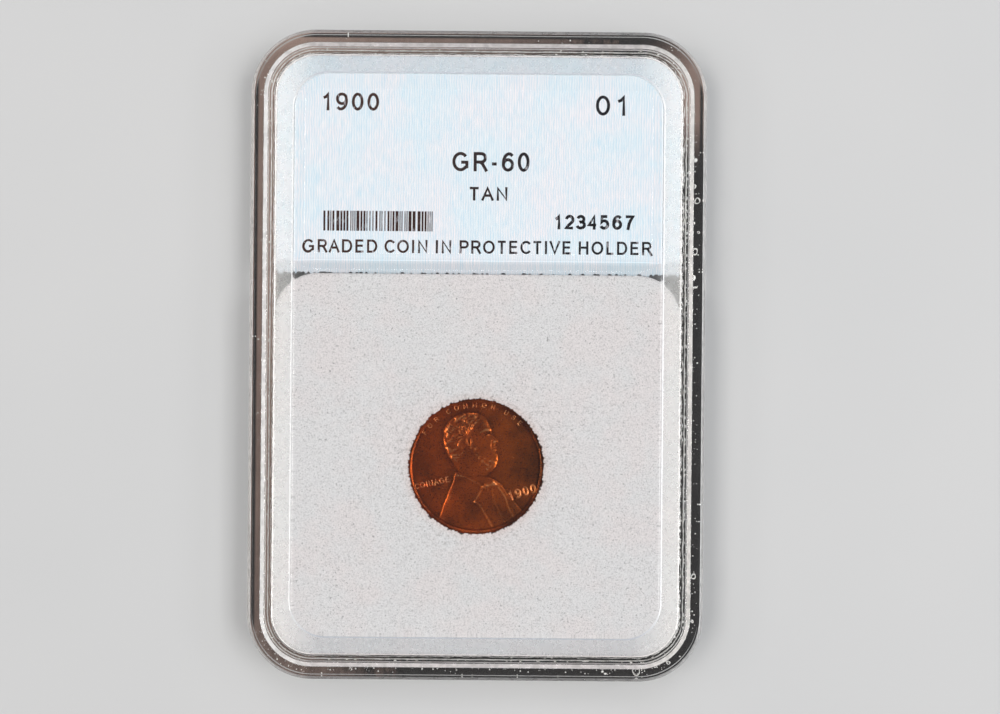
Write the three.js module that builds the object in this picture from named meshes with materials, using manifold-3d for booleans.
// A graded coin slab: two clear shells welded face to face around a foam insert, two printed
// cards and one small bronze coin. Millimetres, +Z up. The slab lies on its back, so the origin
// is the centre of the rear rim's plane, +Z comes out of the front window, and +Y points to the
// end that holds the label.

import * as THREE from "three";
import { mergeVertices } from "three/addons/utils/BufferGeometryUtils.js";
import Module from "manifold-3d";

const wasm = await Module();
wasm.setup();

// Holder, outside.
const SLAB_WIDTH = 63.5;
const SLAB_LENGTH = 90.5;
const SLAB_THICKNESS = 7.5;
const CORNER_RADIUS = 9;
const EDGE_ROUND = 0.5;

// Steps of one shell, as insets from the slab's outline.
const RIM_INNER_INSET = 1.6;
const RIM_FOOT_INSET = 2.3;
const WELD_INSET = 2.2;
const CAVITY_INSET = 3.3;
const WINDOW_INSET = 5.8;
const WINDOW_CORNER_RADIUS = 5;

// Heights of one shell, measured outwards from the parting plane.
const RIM_HEIGHT = SLAB_THICKNESS / 2;
const WINDOW_HEIGHT = 3.45;
const BAND_HEIGHT = 3.15;
const CEILING_HEIGHT = 1.65;
const WELD_HEIGHT = 0.55;
const LAND_HEIGHT = 0.1;
const WINDOW_ROUND = 0.15;

// The pad inside each shell that presses on the label cards.
const PAD_WIDTH = 50.3;
const PAD_LOW_Y = 13.05;
const PAD_HIGH_Y = 38.2;
const PAD_HEIGHT = 0.45;
const PAD_CORNER_RADIUS = 1;

// The weld bead, which fills the rebate that the two shells share.
const BEAD_ROUND_WIDTH = 0.2;
const BEAD_ROUND_HEIGHT = 0.3;

// Pieces inside the cavity. FIT_GAP is what each piece leaves at its neighbours.
const FIT_GAP = 0.08;
const CARD_THICKNESS = 0.36;
const CARD_GAP = 0.04;
const CARD_LOW_Y = 11.5;
const FOAM_HIGH_Y = 11.35;
const FOAM_CORNER_RADIUS = 6;
const FOAM_HOLE_RADIUS = 9.75;

// A small cent.
const COIN_RADIUS = 9.525;
const COIN_THICKNESS = 1.52;
const COIN_CENTRE_Y = -15.5;
const COIN_TURN_DEG = 12;
const COIN_RIM_WIDTH = 0.75;
const COIN_FIELD_DEPTH = 0.16;
const COIN_EDGE_ROUND = 0.12;
const RELIEF_HEIGHT = 0.12;
const HEAD_CENTRE_X = 0.1;
const HEAD_CENTRE_Y = 3.2;
const HEAD_HALF_WIDTH = 3.3;
const HEAD_HALF_HEIGHT = 4.1;
const REVERSE_RING_RADIUS = 6.6;
const REVERSE_RING_WIDTH = 0.8;
const REVERSE_BAR_HALF_WIDTH = 0.9;
const REVERSE_BAR_HALF_LENGTH = 3.6;

const PARTING_Z = SLAB_THICKNESS / 2;
const CORNER_STEPS = 10;
const EDGE_STEPS = 3;
const RING_STEPS = 72;
const OVERSHOOT = 1;

const cavityHalfWidth = SLAB_WIDTH / 2 - CAVITY_INSET;
const cavityHalfLength = SLAB_LENGTH / 2 - CAVITY_INSET;
const cavityCornerRadius = CORNER_RADIUS - CAVITY_INSET;

const clearPlastic = new THREE.MeshStandardMaterial({
  color: 0xe6ecef,
  roughness: 0.12,
  metalness: 0,
  transparent: true,
  opacity: 0.3,
});
const weldPlastic = new THREE.MeshStandardMaterial({
  color: 0xd5d8d6,
  roughness: 0.45,
  metalness: 0,
  transparent: true,
  opacity: 0.6,
});
const foam = new THREE.MeshStandardMaterial({ color: 0xdddbda, roughness: 0.95, metalness: 0 });
const card = new THREE.MeshStandardMaterial({ color: 0xdde9f2, roughness: 0.8, metalness: 0 });
const bronze = new THREE.MeshStandardMaterial({ color: 0x9a4f22, roughness: 0.35, metalness: 1 });

// A closed three.js geometry as a solid that can be joined and cut.
function solid(geometry) {
  const bare = geometry.index ? geometry.toNonIndexed() : geometry.clone();
  bare.deleteAttribute("normal");
  bare.deleteAttribute("uv");
  const merged = mergeVertices(bare, 1e-4);
  const vertProperties = merged.attributes.position.array;
  const triVerts = new Uint32Array(merged.index.array);
  return new wasm.Manifold(new wasm.Mesh({ numProp: 3, vertProperties, triVerts }));
}

function named(name, shape, material) {
  const { vertProperties, triVerts } = shape.getMesh();
  const geometry = new THREE.BufferGeometry();
  geometry.setAttribute("position", new THREE.BufferAttribute(vertProperties, 3));
  geometry.setIndex(new THREE.BufferAttribute(triVerts, 1));
  geometry.computeVertexNormals();
  const mesh = new THREE.Mesh(geometry, material);
  mesh.name = name;
  return mesh;
}

// A rectangle about x = 0 with rounded top and bottom corners; a radius of 0 leaves them square.
function rectangle(halfWidth, lowY, highY, topRadius, bottomRadius) {
  const shape = new THREE.Shape();
  const corners = [
    [1, 1, topRadius, 0],
    [-1, 1, topRadius, 1],
    [-1, -1, bottomRadius, 2],
    [1, -1, bottomRadius, 3],
  ];
  corners.forEach(([sideX, sideY, radius, quarter], i) => {
    const x = sideX * (halfWidth - radius);
    const y = sideY > 0 ? highY - radius : lowY + radius;
    if (radius > 0) {
      const start = (quarter * Math.PI) / 2;
      shape.absarc(x, y, radius, start, start + Math.PI / 2, false);
    } else if (i === 0) {
      shape.moveTo(x, y);
    } else {
      shape.lineTo(x, y);
    }
  });
  return shape;
}

// The slab's outline, drawn in by an inset. Its corners stay concentric unless a radius is given.
function slabOutline(inset, radius = CORNER_RADIUS - inset) {
  const halfLength = SLAB_LENGTH / 2 - inset;
  return rectangle(SLAB_WIDTH / 2 - inset, -halfLength, halfLength, radius, radius);
}

// A flat plate from one height to another. Its edges can be drawn in by bevelSize over bevelHeight.
function plate(shape, low, high, bevelSize = 0, bevelHeight = bevelSize, bevelSteps = 1) {
  const bevelled = bevelSize > 0;
  const geometry = new THREE.ExtrudeGeometry(shape, {
    depth: high - low - (bevelled ? 2 * bevelHeight : 0),
    curveSegments: CORNER_STEPS,
    bevelEnabled: bevelled,
    bevelSize,
    bevelThickness: bevelHeight,
    bevelOffset: -bevelSize,
    bevelSegments: bevelSteps,
  });
  geometry.translate(0, 0, low + (bevelled ? bevelHeight : 0));
  return solid(geometry);
}

function disc(radius, low, high) {
  const geometry = new THREE.CylinderGeometry(radius, radius, high - low, RING_STEPS);
  geometry.rotateX(Math.PI / 2);
  geometry.translate(0, 0, (low + high) / 2);
  return solid(geometry);
}

// One shell with its parting plane at z = 0 and its outer face up: a raised rim, a sunk border
// band, a slightly proud window, and under them the cavity, the label pad and the weld rebate.
function shell() {
  const outside = plate(
    slabOutline(0),
    -RIM_HEIGHT,
    RIM_HEIGHT,
    EDGE_ROUND,
    EDGE_ROUND,
    EDGE_STEPS,
  );
  const belowLand = plate(slabOutline(-OVERSHOOT), -RIM_HEIGHT - OVERSHOOT, LAND_HEIGHT);
  const rimSlopeHeight = RIM_HEIGHT - BAND_HEIGHT;
  const insideShell = (BAND_HEIGHT + CEILING_HEIGHT) / 2;
  const sunkBand = plate(
    slabOutline(RIM_INNER_INSET),
    BAND_HEIGHT,
    RIM_HEIGHT + rimSlopeHeight + OVERSHOOT,
    RIM_FOOT_INSET - RIM_INNER_INSET,
    rimSlopeHeight,
  );
  const window = plate(
    slabOutline(WINDOW_INSET, WINDOW_CORNER_RADIUS),
    insideShell,
    WINDOW_HEIGHT,
    WINDOW_ROUND,
  );
  const weldRebate = plate(slabOutline(WELD_INSET), -OVERSHOOT, WELD_HEIGHT);
  const cavity = plate(slabOutline(CAVITY_INSET), -OVERSHOOT, CEILING_HEIGHT);
  const padOutline = rectangle(
    PAD_WIDTH / 2,
    PAD_LOW_Y,
    PAD_HIGH_Y,
    PAD_CORNER_RADIUS,
    PAD_CORNER_RADIUS,
  );
  const pad = plate(padOutline, PAD_HEIGHT, insideShell);
  return outside
    .subtract(belowLand)
    .subtract(sunkBand)
    .add(window)
    .subtract(weldRebate)
    .subtract(cavity)
    .add(pad);
}

// The bead of melted plastic that runs round the rebates and joins the two shells.
function weldBead() {
  const outline = slabOutline(WELD_INSET + FIT_GAP);
  outline.holes.push(slabOutline(CAVITY_INSET));
  const half = WELD_HEIGHT - FIT_GAP;
  return plate(outline, -half, half, BEAD_ROUND_WIDTH, BEAD_ROUND_HEIGHT);
}

function foamInsert() {
  const half = CEILING_HEIGHT - FIT_GAP;
  const outline = rectangle(
    cavityHalfWidth - FIT_GAP,
    -cavityHalfLength + FIT_GAP,
    FOAM_HIGH_Y,
    FOAM_CORNER_RADIUS,
    FOAM_CORNER_RADIUS,
  );
  const hole = disc(FOAM_HOLE_RADIUS, -half - OVERSHOOT, half + OVERSHOOT);
  return plate(outline, -half, half).subtract(hole.translate(0, COIN_CENTRE_Y, 0));
}

// A label card that lies on the parting plane, its printed face up.
function labelCard() {
  const outline = rectangle(
    cavityHalfWidth - FIT_GAP,
    CARD_LOW_Y,
    cavityHalfLength - FIT_GAP,
    cavityCornerRadius,
    0,
  );
  return plate(outline, CARD_GAP / 2, CARD_GAP / 2 + CARD_THICKNESS);
}

// The coin's blank with its rims: a closed profile turned about the coin's axis.
function coinBlank() {
  const half = COIN_THICKNESS / 2;
  const field = half - COIN_FIELD_DEPTH;
  const rimInner = COIN_RADIUS - COIN_RIM_WIDTH;
  const face = [
    [0, field],
    [rimInner - COIN_FIELD_DEPTH, field],
    [rimInner, half],
    [COIN_RADIUS - COIN_EDGE_ROUND, half],
    [COIN_RADIUS, half - COIN_EDGE_ROUND],
  ];
  const back = face.map(([radius, height]) => [radius, -height]);
  const profile = [...back, ...face.reverse()].map(([x, y]) => new THREE.Vector2(x, y));
  const geometry = new THREE.LatheGeometry(profile, RING_STEPS);
  geometry.rotateX(Math.PI / 2);
  return solid(geometry);
}

// A plain head-and-shoulders boss, so that the coin shows which way up it stands. The shoulders
// start at the back of the neck, run down the back and round the coin's lower edge to the chest.
function bustRelief(low, high) {
  const head = new THREE.Shape();
  head.absellipse(
    HEAD_CENTRE_X,
    HEAD_CENTRE_Y,
    HEAD_HALF_WIDTH,
    HEAD_HALF_HEIGHT,
    0,
    2 * Math.PI,
    false,
    0,
  );
  const nape = new THREE.Vector2(-2.8, -0.4);
  const back = new THREE.Vector2(-6.2, -5.2);
  const chest = new THREE.Vector2(5, -6.4);
  const collar = new THREE.Vector2(2.2, -1.6);
  const shoulders = new THREE.Shape();
  shoulders.moveTo(nape.x, nape.y);
  shoulders.quadraticCurveTo(-4.6, -2.2, back.x, back.y);
  shoulders.quadraticCurveTo(-0.6, -10.6, chest.x, chest.y);
  shoulders.quadraticCurveTo(4, -3.4, collar.x, collar.y);
  return plate(head, low, high).add(plate(shoulders, low, high));
}

// The reverse's plain boss: an upright bar inside a ring.
function denominationRelief(low, high) {
  const ring = new THREE.Shape();
  ring.absarc(0, 0, REVERSE_RING_RADIUS, 0, 2 * Math.PI, false);
  const inside = new THREE.Path();
  inside.absarc(0, 0, REVERSE_RING_RADIUS - REVERSE_RING_WIDTH, 0, 2 * Math.PI, false);
  ring.holes.push(inside);
  const bar = rectangle(
    REVERSE_BAR_HALF_WIDTH,
    -REVERSE_BAR_HALF_LENGTH,
    REVERSE_BAR_HALF_LENGTH,
    0,
    0,
  );
  return { ring: plate(ring, low, high), bar: plate(bar, low, high) };
}

function coin() {
  const field = COIN_THICKNESS / 2 - COIN_FIELD_DEPTH;
  const sunk = field - RELIEF_HEIGHT;
  const { ring, bar } = denominationRelief(-field - RELIEF_HEIGHT, -sunk);
  return coinBlank()
    .add(bustRelief(sunk, field + RELIEF_HEIGHT))
    .add(ring)
    .add(bar);
}

const slab = new THREE.Group();
slab.position.z = PARTING_Z;

const frontShell = named("front_shell", shell(), clearPlastic);
const rearShell = named("rear_shell", shell(), clearPlastic);
rearShell.rotation.y = Math.PI;

const frontCard = named("label_front", labelCard(), card);
const rearCard = named("label_rear", labelCard(), card);
rearCard.rotation.y = Math.PI;

const centCoin = named("coin", coin(), bronze);
centCoin.position.y = COIN_CENTRE_Y;
centCoin.rotation.z = THREE.MathUtils.degToRad(COIN_TURN_DEG);

slab.add(
  frontShell,
  rearShell,
  named("weld_bead", weldBead(), weldPlastic),
  named("foam_insert", foamInsert(), foam),
  frontCard,
  rearCard,
  centCoin,
);

const root = new THREE.Group();
root.add(slab);

export default root;
